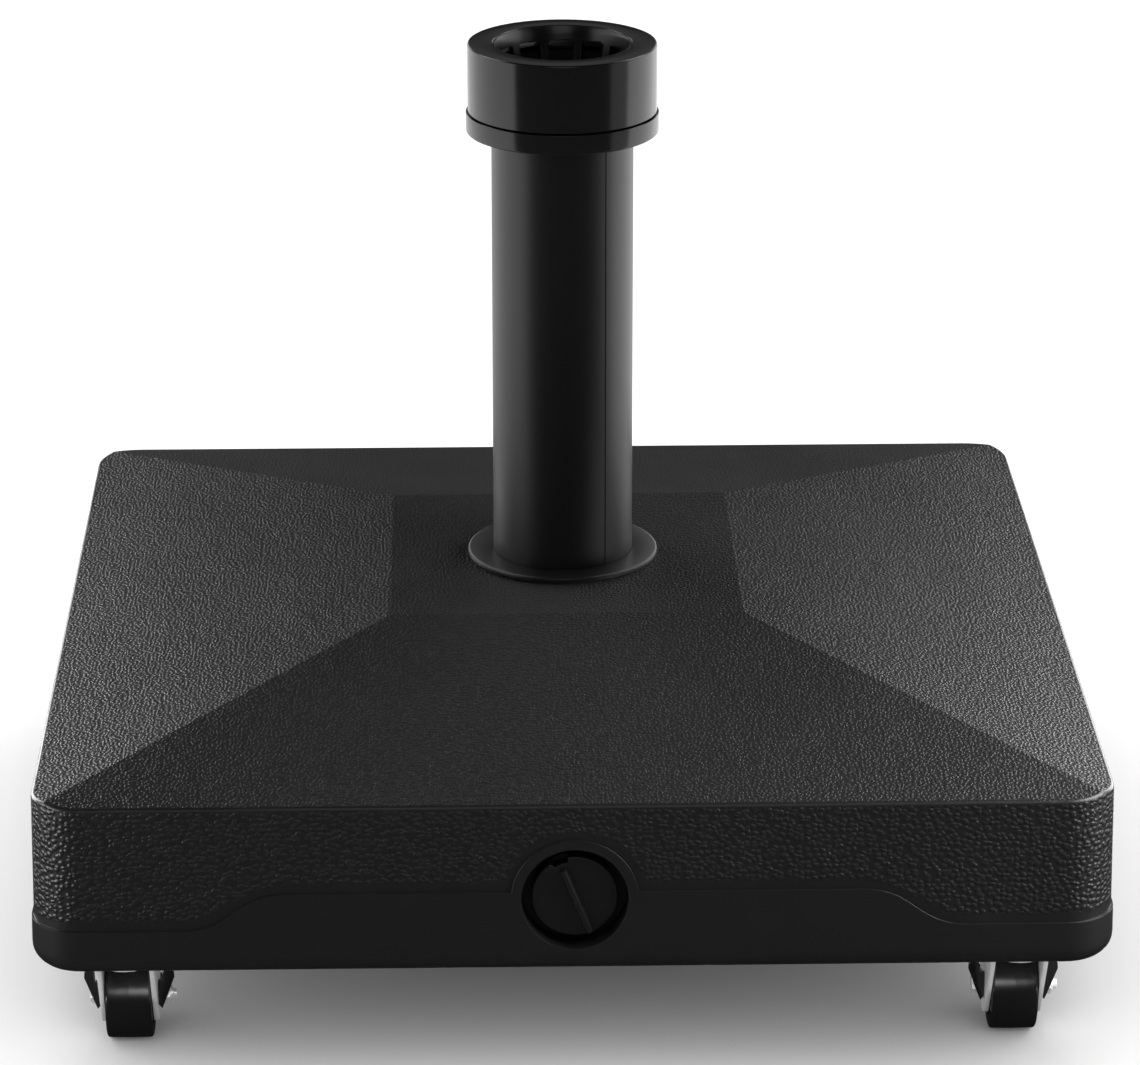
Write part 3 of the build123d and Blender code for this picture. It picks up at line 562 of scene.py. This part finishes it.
for node, body, outline in (
    (
        "collar_sleeve",
        "collar",
        (
            (SLEEVE_R - 0.25, sleeve_low, 0.2),
            (SLEEVE_R, sleeve_low + 0.25, 0.2),
            (SLEEVE_R, sleeve_high, 1.1),
            (MOUTH_R, sleeve_high, 0.8),
            (MOUTH_R, SLEEVE_ROOF, 0),
            (SLEEVE_BORE, SLEEVE_ROOF, 0),
            (SLEEVE_BORE, sleeve_low, 0),
        ),
    ),
    (
        "collar_base",
        "root",
        (
            (PLUG_BORE, ring_low, 0),
            (PLUG_R, ring_low, 0),
            (PLUG_R, stem_high, 0),
            (STEM_FIT, stem_high, 0),
            (STEM_FIT, RING_FOOT, 0.3),
            (RING_R, RING_FOOT, 1.4),
            (RING_R, RING_TOP, 0.35),
            (NECK_R, RING_TOP, 0),
            (NECK_R, SEAT_TOP, 0.3),
            (40.0, SEAT_TOP, 0),
            (PLUG_BORE, 459.0, 0),
        ),
    ),
    (
        "stem_flange",
        "root",
        (
            (STEM_FIT, flange_low, 0),
            (FLANGE_R, flange_low, 0.6),
            (FLANGE_R, flange_high, 1.6),
            (STEM_FIT, flange_high, 0.3),
        ),
    ),
):
    show(node, turned(node, outline), body)


def stem_mesh():
    """The stem tube, with a narrow weld groove down each of two opposite sides."""
    steps, wall = 180, 2.5
    seams = (306.0, 126.0)
    # Half the groove's angle at its mouth and at its floor, in degrees, and its depth
    mouth, bottom, depth = 0.55, 0.55 * 0.7, 0.5

    def at(turn, radius=STEM_R):
        return (radius * math.cos(math.radians(turn)), radius * math.sin(math.radians(turn)), turn)

    turns = [360.0 * step / steps for step in range(steps)]
    outer = [at(turn) for turn in turns if all(abs((turn - s + 180) % 360 - 180) >= 1.0 for s in seams)]
    for seam in seams:
        outer += [at(seam - mouth), at(seam - bottom, STEM_R - depth)]
        outer += [at(seam + bottom, STEM_R - depth), at(seam + mouth)]
    outer.sort(key=lambda p: p[2])
    inner = arc((0, 0), STEM_R - wall, 0, 360, steps)[:-1]
    bm = bmesh.new()
    slab(bm, (mm(p[:2] for p in outer), mm(inner)), stem_low * MM, stem_high * MM, UP)
    return finished("stem_tube", mesh_of("stem_tube", bm), smooth=25.0)


show("stem_tube", stem_mesh(), "root")
show("tank", level_faces(softened("tank", 0.5 * MM, 30.0)), "root")


def collet_mesh():
    """Twelve fingers: a solid flared rim, windows between their ribs, and slots between their grips."""
    fingers, columns = 12, 144
    slot_top, window_low, window_high, window_corner = 481.0, 484.0, 510.5, 1.4
    grip_top, throat = 473.0, 482.0
    # Outer and inner (height, radius) profiles
    foot = PLUG_BORE + 6.0 * 2.0 / 45.0 - 0.4
    outer = ((collet_low, foot), (SEAT_TOP, 39.6), (SEAT_TOP + 2.0, 39.9), (collet_high, 39.9))
    inner = ((collet_low, 26.6), (grip_top, 26.6), (throat, 31.0), (collet_high, 39.3))

    def radius(table, z):
        for (z0, r0), (z1, r1) in zip(table, table[1:]):
            if z <= z1:
                return r0 + (r1 - r0) * (z - z0) / (z1 - z0)
        return table[-1][1]

    def place(u, v, side):
        return polar(radius(outer if side else inner, v), u, v) * MM

    pitch = 2 * math.pi / fingers
    half_window, half_slot = math.radians(11.0), math.radians(1.9)
    # The windows' corners are rounded on the sheet unrolled at this radius
    unrolled = 35.0
    start, end = -pitch / 2, 2 * math.pi - pitch / 2
    rim = [(start, collet_high), (start, collet_low)]
    windows = []
    for index in range(fingers):
        middle = index * pitch
        for u, v in ((-1, collet_low), (-1, slot_top), (1, slot_top), (1, collet_low)):
            rim.append((middle + u * half_slot, v))
        corners = []
        for u, v in ((-1, window_low), (1, window_low), (1, window_high), (-1, window_high)):
            corners.append(((middle + u * half_window) * unrolled, v, window_corner))
        windows.append([(u / unrolled, v) for u, v in rounded(corners, 4)])
    rim += [(end, collet_low), (end, collet_high)]
    bm = bmesh.new()
    u_cuts = [start + 2 * math.pi * k / columns for k in range(1, columns)]
    v_cuts = [grip_top, throat, SEAT_TOP, SEAT_TOP + 2.0]
    sheet(bm, [rim] + windows, place, u_cuts, v_cuts, seam=(start, end))
    return finished("collet", mesh_of("collet", bm), 0.4 * MM, 55.0, 2, 40.0)


show("collet", collet_mesh(), "clamp_carrier")

# Filler cap -----------------------------------------------------------------------------------------
TO_FRONT = Matrix.Rotation(math.radians(90), 4, "X")
CAP_FACE = 294.5
CAP_BACK = 286.0
CAP_RADIUS = 23.5
CAP_STEPS = 240
# Degrees from the cap's right to its bar, which starts at the notch in the rim
BAR_TURN = 112.0
# Half the notch in degrees, and its depth in millimetres
NOTCH_REACH = 13.0
NOTCH_DEPTH = 3.0
# The rim's (height below the face, inset) rounding
CAP_EDGE = ((0.7, 0.0), (0.35, 0.1), (0.1, 0.35), (0.0, 0.7), (0.0, 5.0))
# The bar's (near end, far end, width, height above the face) sections from foot to crest
BAR_SECTIONS = (
    (17.8, 22.9, 4.0, -0.6),
    (17.8, 22.9, 4.0, 0.2),
    (17.5, 22.6, 3.0, 3.4),
    (17.2, 22.3, 2.2, 4.0),
)


def cap_mesh():
    """A disc with a notch in its rim, a tapered grip bar, and a threaded skirt behind."""
    bm = bmesh.new()
    centre = Matrix.Translation((CAP_CENTRE.x, 0, CAP_CENTRE.z)) @ TO_FRONT
    rings = []
    for height, inset in [(CAP_BACK, 0.0)] + [(CAP_FACE - below, inset) for below, inset in CAP_EDGE]:
        ring = []
        for step in range(CAP_STEPS):
            turn = 360.0 * step / CAP_STEPS
            near = min(max((NOTCH_REACH - abs(turn - BAR_TURN)) / 1.5, 0.0), 1.0)
            dip = NOTCH_DEPTH * near if inset < 1.0 else 0.0
            spot = polar(CAP_RADIUS - inset - dip, math.radians(turn), height)
            ring.append(bm.verts.new(centre @ (spot * MM)))
        rings.append(ring)
    stack(bm, rings)
    turned_bar = centre @ Matrix.Rotation(math.radians(BAR_TURN), 4, "Z")
    rings = []
    for near, far, width, rise in BAR_SECTIONS:
        half = width / 2
        ends = arc((near - half, 0), half, -90, 90, 10) + arc((half - far, 0), half, 90, 270, 10)
        spots = [Vector((u, v, CAP_FACE + rise)) * MM for u, v in ends]
        rings.append([bm.verts.new(turned_bar @ spot) for spot in spots])
    stack(bm, rings)
    bore, crest, root, foot, join = 14.5, 17.0, 16.3, 271.0, CAP_BACK + 0.3
    ridges = [(crest if step % 2 else root, foot + 1.2 * step) for step in range(12)]
    lathe(bm, mm([(bore, join), (bore, foot)] + ridges + [(root, join)]), centre, 72)
    return finished("filler_cap", mesh_of("filler_cap", bm), smooth=35.0)


show("filler_cap", cap_mesh(), "cap")

# Casters --------------------------------------------------------------------------------------------
CORNERS = ("front_left", "front_right", "rear_left", "rear_right")
TRAIL = 23.0
AXLE_Z = 25.0
AXLE_PLACE = Matrix.Translation((0, TRAIL * MM, AXLE_Z * MM))
ALONG_AXLE = AXLE_PLACE @ Matrix.Rotation(math.radians(90), 4, "Y")
HALF_TURN = Matrix.Rotation(math.pi, 4, "X")
CROWN_TOP = 60.5
CROWN_HALF = 17.0
CROWN_RADIUS = 19.0
ARM_OUTER = 16.0
SHEET = 2.5
AXLE_HEX = 10.0
AXLE_R = 2.98


def hull(points):
    """Convex hull of 2-D points, anticlockwise."""
    points = sorted(set(points))
    chains = []
    for ordered in (points, points[::-1]):
        chain = []
        for p in ordered:
            while len(chain) > 1:
                (ax, ay), (bx, by) = chain[-2], chain[-1]
                if (bx - ax) * (p[1] - ay) - (by - ay) * (p[0] - ax) > 0:
                    break
                chain.pop()
            chain.append(p)
        chains += chain[:-1]
    return chains


def fork_mesh():
    """A strip of sheet steel folded over the wheel, with rounded arm ends and punched holes."""
    bend = 3.6
    flat_half = ARM_OUTER - bend
    bend_length = bend * math.pi / 2
    drop = CROWN_TOP - AXLE_Z

    def place(u, v, side):
        """u runs along the object's length, v along the strip from the middle of the crown."""
        depth = SHEET if side else 0.0
        way = 1 if v >= 0 else -1
        v = abs(v)
        if v <= flat_half:
            across, down = v, depth
        elif v <= flat_half + bend_length:
            turn = (v - flat_half) / bend
            across = flat_half + (bend - depth) * math.sin(turn)
            down = bend - (bend - depth) * math.cos(turn)
        else:
            across, down = ARM_OUTER - depth, bend + v - flat_half - bend_length
        return Vector((way * across, u, CROWN_TOP - down)) * MM

    straight = flat_half + bend_length - bend
    # The arm narrows from the crown to a round end about the axle
    arm_end = [(round(a, 5), round(b, 5)) for a, b in arc((TRAIL, drop), 15.5, 0, 360, 64)]
    arm = [p for p in hull([(-CROWN_HALF, 0.0), (CROWN_HALF, 0.0)] + arm_end) if p[1] > 0.01]
    arm.sort(key=lambda p: math.atan2(p[1] - drop / 2, p[0] - TRAIL / 2))
    first = max(range(len(arm)), key=lambda i: math.dist(arm[i], arm[i - 1]))
    arm = arm[first:] + arm[:first]
    if arm[0][0] < arm[-1][0]:
        arm.reverse()
    low_arm = [(u, straight + d) for u, d in arm]
    # The crown bulges between its arms, at the front and at the back
    bulge = 8.4
    crown = [(-math.sqrt(CROWN_RADIUS**2 - v * v), v) for v in (8.0, 5.0, 0.0, -5.0, -8.0)]
    outline = [(CROWN_HALF, straight)] + low_arm + [(-CROWN_HALF, straight), (-CROWN_HALF, bulge)]
    outline += crown + [(-CROWN_HALF, -bulge), (-CROWN_HALF, -straight)]
    outline += [(u, -v) for u, v in reversed(low_arm)]
    outline += [(CROWN_HALF, -straight), (CROWN_HALF, -bulge)]
    outline += [(-u, -v) for u, v in crown] + [(CROWN_HALF, bulge)]
    rivet_hole, axle_hole = 5.2, 3.3
    holes = [arc((0, 0), rivet_hole, 0, 360, 32)[:-1]]
    for way in (-1, 1):
        holes.append(arc((TRAIL, way * (straight + drop)), axle_hole, 0, 360, 28)[:-1])
    cuts = [way * (flat_half + bend_length * share / 6) for way in (-1, 1) for share in range(7)]
    bm = bmesh.new()
    sheet(bm, [outline] + holes, place, v_cuts=cuts)
    return finished("fork", mesh_of("fork", bm), 0.35 * MM, 50.0, 2, 30.0)


def axle_bolt_mesh():
    """A hexagon bolt with a chamfered head, and a nut on its threaded end."""
    bm = bmesh.new()
    inner = 18.5
    hexagon(bm, ALONG_AXLE @ HALF_TURN, AXLE_HEX * MM, inner * MM, 22.5 * MM)
    hexagon(bm, ALONG_AXLE, AXLE_HEX * MM, inner * MM, 22.6 * MM)
    collar = [(4.4, 22.3), (4.4, 23.0), (3.9, 23.5), (3.1, 23.5)]
    spun(bm, mm(collar), ALONG_AXLE, 48)
    shank = [(AXLE_R, -18.6), (AXLE_R, 16.5)] + threads(AXLE_R, 1.0, 16.6, 26.0)
    spun(bm, mm(shank), ALONG_AXLE, 48)
    return finished("axle_bolt", mesh_of("axle_bolt", bm), smooth=30.0)


def wheel_part(name, half, arc_steps, steps):
    """A tyre or hub turned about the axle from one half of its (radius, width, rounding) outline."""
    whole = list(half) + [(r, -h, c) for r, h, c in reversed(half)]
    bm = bmesh.new()
    lathe(bm, rounded(mm(whole), arc_steps), ALONG_AXLE, steps)
    return finished(name, mesh_of(name, bm), smooth=50.0)


def tyre_mesh():
    """A crowned tread with a fine mould line, rounded shoulders and a ring in each sidewall."""
    half = (
        (17.5, 13.0, 0.2),
        (19.3, 13.0, 0.2),
        (19.6, 12.65, 0.2),
        (20.4, 12.65, 0.2),
        (20.7, 13.0, 0.2),
        (24.75, 13.0, 4.3),
        (24.85, 6.0, 2.0),
        (24.93, 0.5, 0.1),
        (25.0, 0.2, 0.05),
    )
    return wheel_part("tyre", half, 7, 128)


def wheel_hub_mesh():
    """A rim and a boss joined by a web, moulded with draft."""
    half = (
        (5.1, 12.6, 0.3),
        (8.4, 12.6, 0.5),
        (8.6, 2.5, 1.2),
        (14.8, 2.5, 1.2),
        (15.3, 11.0, 0.5),
        (17.48, 11.0, 0.2),
    )
    return wheel_part("wheel_hub", half, 4, 96)


def stem_bolt_meshes():
    """The four bolts that hold the stem down, seen from below, and their washers."""
    circle, across, head, shank = 25 * MM, 13 * MM, 5.2 * MM, 3.98 * MM
    bolts, washers = bmesh.new(), bmesh.new()
    washer_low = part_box("stem_washers")[0].z
    bolt_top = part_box("stem_bolts")[1].z
    for index in range(4):
        turn = math.radians(45 + 90 * index)
        spot = Matrix.Translation((circle * math.cos(turn), circle * math.sin(turn), washer_low))
        hexagon(bolts, spot @ HALF_TURN, across, 0.0, head)
        spun(bolts, [(shank, -0.1 * MM), (shank, bolt_top - washer_low)], spot, 48)
        ring = ((4.3, 0.0, 0.2), (8.0, 0.0, 0.4), (8.0, 1.6, 0.4), (4.3, 1.6, 0.2))
        lathe(washers, rounded(mm(ring), 3), spot, 64)
    return (
        finished("stem_bolts", mesh_of("stem_bolts", bolts), smooth=30.0),
        finished("stem_washers", mesh_of("stem_washers", washers), smooth=40.0),
    )


def corner_place(corner):
    """The caster's swivel axis on the floor, turned the way its fork trails."""
    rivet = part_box(f"swivel_rivet_{corner}")
    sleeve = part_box(f"axle_sleeve_{corner}")
    swivel = (rivet[0] + rivet[1]) / 2
    turn = 0.0 if (sleeve[0].y + sleeve[1].y) / 2 > swivel.y else math.pi
    return Matrix.Translation((swivel.x, swivel.y, 0)) @ Matrix.Rotation(turn, 4, "Z")


def screw_mesh():
    """The plates' domed screws, four on each."""
    length = 12.0
    dome = mm([(4.8, 0.0), (4.8, 0.9), (4.55, 1.5), (4.0, 2.0), (3.2, 2.35), (2.2, 2.4)])
    shank = mm([(2.38, -0.1), (2.38, length - 1.0), (1.2, length)])
    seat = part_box("caster_screws")[1].z - length * MM
    bm = bmesh.new()
    for corner in CORNERS:
        swivel = corner_place(corner).translation
        for x in (-22, 22):
            for y in (-17, 17):
                spot = Matrix.Translation((swivel.x + x * MM, swivel.y + y * MM, seat))
                spun(bm, dome, spot @ HALF_TURN, 32)
                spun(bm, shank, spot, 24)
    return finished("caster_screws", mesh_of("caster_screws", bm), smooth=40.0)


for node, mesh in zip(("stem_bolts", "stem_washers"), stem_bolt_meshes()):
    show(node, mesh, "root")
show("caster_screws", screw_mesh(), "root")
fork, axle_bolt, tyre, wheel_hub = fork_mesh(), axle_bolt_mesh(), tyre_mesh(), wheel_hub_mesh()
for corner in CORNERS:
    place = corner_place(corner)
    for kind, mesh, body in (
        ("fork", fork, "swivel"),
        ("axle_bolt", axle_bolt, "swivel"),
        ("tyre", tyre, "wheel"),
        ("wheel_hub", wheel_hub, "wheel"),
    ):
        show(f"{kind}_{corner}", mesh, f"{body}_{corner}", place)
    for kind, body, edge in (
        ("brake_lever", f"brake_{corner}", 0.35),
        ("caster_plate", "root", 0.4),
        ("swivel_rivet", "root", 0.2),
    ):
        node = f"{kind}_{corner}"
        show(node, softened(node, edge * MM), body)
for node, body, edge in (
    ("flange_seal", "root", 0.2),
    ("pole_bushing", "root", 0.3),
    ("clamp_ring", "clamp_carrier", 0.3),
    ("stem_anchor", "root", 0.3),
    ("cap_gasket", "cap_carrier", 0.3),
):
    show(node, softened(node, edge * MM), body)


# Studio ---------------------------------------------------------------------------------------------
def lit_only(name, state, *objects):
    """A light-linking collection that includes or excludes these objects."""
    group = bpy.data.collections.new(name)
    for item in objects:
        group.objects.link(item)
    for item in group.collection_objects:
        item.light_linking.link_state = state
    return group


# A box of even light round the floor, so that the shadow under the tank is soft on all sides
ROOM = 5.0
ROOM_HEIGHT = 3.0
FLOOR_RADIANCE = 1.38
AIM = (0, 0, 0.2)


def named(*kinds):
    """The objects whose names start with one of these."""
    return [item for item in bpy.data.objects if item.name.startswith(kinds)]


def floor_piece():
    """A pale floor, just inside the room's walls of light, which doesn't show in reflections."""
    mesh = bpy.data.meshes.new("studio_floor")
    reach = ROOM - 0.05
    corners = [(-reach, -reach, 0), (reach, -reach, 0), (reach, reach, 0), (-reach, reach, 0)]
    mesh.from_pydata(corners, [], [(0, 1, 2, 3)])
    floor = bpy.data.objects.new("studio_floor", mesh)
    bpy.context.scene.collection.objects.link(floor)
    t = Tree("studio_floor")
    mottle = t.noise(t.position(), 3.0, 3.0, 0.5)
    mesh.materials.append(t.surface(t.grey(t.mix(mottle, 0.90, 0.93)), 0.9))
    floor.visible_glossy = False
    return floor


def softbox(name, centre, target, width, height, power, receivers):
    """A rectangular area light aimed at a point, which lights only its receivers."""
    data = bpy.data.lights.new(name, "AREA")
    data.shape = "RECTANGLE"
    data.size = width
    data.size_y = height
    data.energy = power
    lamp = bpy.data.objects.new(name, data)
    lamp.location = centre
    lamp.rotation_euler = (Vector(target) - Vector(centre)).to_track_quat("-Z", "Y").to_euler()
    lamp.visible_camera = False
    bpy.context.scene.collection.objects.link(lamp)
    lamp.light_linking.receiver_collection = receivers


def world(level):
    """White where the camera sees it, dim for the light it gives."""
    sky = bpy.data.worlds.new("studio")
    bpy.context.scene.world = sky
    sky.use_nodes = True
    tree = sky.node_tree
    background = tree.nodes["Background"]
    path = tree.nodes.new("ShaderNodeLightPath")
    bright = tree.nodes.new("ShaderNodeMix")
    bright.data_type = "RGBA"
    bright.inputs[6].default_value = (level, level, level, 1.0)
    bright.inputs[7].default_value = (1.0, 1.0, 1.0, 1.0)
    tree.links.new(path.outputs["Is Camera Ray"], bright.inputs[0])
    tree.links.new(bright.outputs[2], background.inputs["Color"])


def camera():
    """The photograph's viewpoint: slightly left of the front and twenty degrees up."""
    azimuth, elevation = math.radians(-1.364), math.radians(20.258)
    distance = 2.8588
    target = Vector((0.00443, 0.0, 0.21735))
    back = Vector((0, -1, 0))
    back.rotate(Matrix.Rotation(-elevation, 3, "X"))
    back.rotate(Matrix.Rotation(azimuth, 3, "Z"))
    data = bpy.data.cameras.new("camera")
    data.sensor_width = 36.0
    data.lens = 150.74842
    data.clip_end = 100.0
    view = bpy.data.objects.new("camera", data)
    view.location = target + back * distance
    view.rotation_euler = (-back).to_track_quat("-Z", "Y").to_euler()
    bpy.context.scene.collection.objects.link(view)
    bpy.context.scene.camera = view


world(0.015)
floor = floor_piece()
floor_only = lit_only("floor_only", "INCLUDE", floor)
caster_pieces = named("fork", "axle_bolt", "tyre", "wheel_hub")
casters_only = lit_only("casters_only", "INCLUDE", *caster_pieces)
pole_pieces = named("collar_", "collet", "stem_tube", "stem_flange")
pole_only = lit_only("pole_only", "INCLUDE", *pole_pieces)
tank_only = lit_only("tank_only", "EXCLUDE", floor, *pole_pieces)
top_power = FLOOR_RADIANCE * math.pi * 4 * ROOM**2
softbox("room_top", (0, 0, ROOM_HEIGHT), (0, 0, 0), 2 * ROOM, 2 * ROOM, top_power, floor_only)
wall_power = FLOOR_RADIANCE * math.pi * 2 * ROOM * ROOM_HEIGHT
middle = (0, 0, ROOM_HEIGHT / 2)
for index in range(4):
    way = Vector((0, -1, 0))
    way.rotate(Matrix.Rotation(math.radians(90 * index), 3, "Z"))
    wall = way * ROOM + Vector(middle)
    softbox(f"room_side_{index}", wall, middle, 2 * ROOM, ROOM_HEIGHT, wall_power, floor_only)
# Softboxes for the tank and all that isn't the pole's: place, target, width, height and power.
# Large and dim, so that none burns out where the roof reflects it at a low angle.
for name, spot, target, width, height, power in (
    ("left_front", (-0.85, -0.45, 0.225), (0, -0.45, 0.225), 0.6, 0.35, 4.2),
    ("left_back", (-0.95, 0.85, 0.42), (0, 0.85, 0.42), 1.2, 0.8, 28.0),
    ("right_front", (0.85, -0.45, 0.225), (0, -0.45, 0.225), 0.6, 0.35, 2.0),
    ("right_back", (0.95, 0.85, 0.42), (0, 0.85, 0.42), 1.2, 0.8, 22.0),
    ("front_top", (0.0, -1.6, 2.0), AIM, 1.0, 1.0, 0.9),
    ("front_low", (0.0, -1.6, 0.95), AIM, 1.4, 0.5, 1.4),
    ("right_over", (0.72, -0.36, 0.56), (0.432, -0.324, 0.17), 0.55, 0.55, 11.0),
):
    softbox(name, spot, target, width, height, power, tank_only)
# Panels close round the stem and collar: place, target, width, height and radiance
for name, spot, target, width, height, radiance in (
    ("pole_left", (-0.45, 0.155, 0.40), (0, 0.155, 0.40), 0.89, 0.7, 1.4),
    ("pole_left_back", (-0.285, 0.60, 0.40), (-0.285, 0, 0.40), 0.33, 0.7, 1.2),
    ("pole_right_front", (0.45, -0.19, 0.40), (0, -0.19, 0.40), 0.22, 0.7, 0.5),
    ("pole_right", (0.45, 0.26, 0.40), (0, 0.26, 0.40), 0.68, 0.7, 1.9),
    ("pole_right_back", (0.285, 0.60, 0.40), (0.285, 0, 0.40), 0.33, 0.7, 1.5),
    ("pole_front", (0.0, -1.6, 1.4), (0, 0, 0.4), 1.0, 1.0, 0.8),
    ("pole_behind", (0.0, 1.3, 1.0), (0, 0, 0.5), 1.2, 0.3, 0.14),
    ("mouth_left", (-0.3, 0.3, 0.9), (0, 0, 0.5), 0.2, 0.2, 6.0),
    ("mouth_right", (0.3, 0.3, 0.9), (0, 0, 0.5), 0.2, 0.2, 6.0),
):
    softbox(name, spot, target, width, height, math.pi * width * height * radiance, pole_only)
# Fill for the casters, which stand in the tank's shade: place, width, height and power
for name, spot, width, height, power in (
    ("caster_fill", (0.0, -1.6, 0.9), 0.9, 0.5, 8.0),
    ("caster_left", (-1.4, -0.7, 0.12), 0.5, 0.2, 3.0),
    ("caster_right", (1.4, -0.7, 0.12), 0.5, 0.2, 3.0),
):
    softbox(name, spot, (0, 0, 0.03), width, height, power, casters_only)
camera()
bpy.context.scene.view_settings.view_transform = "Standard"
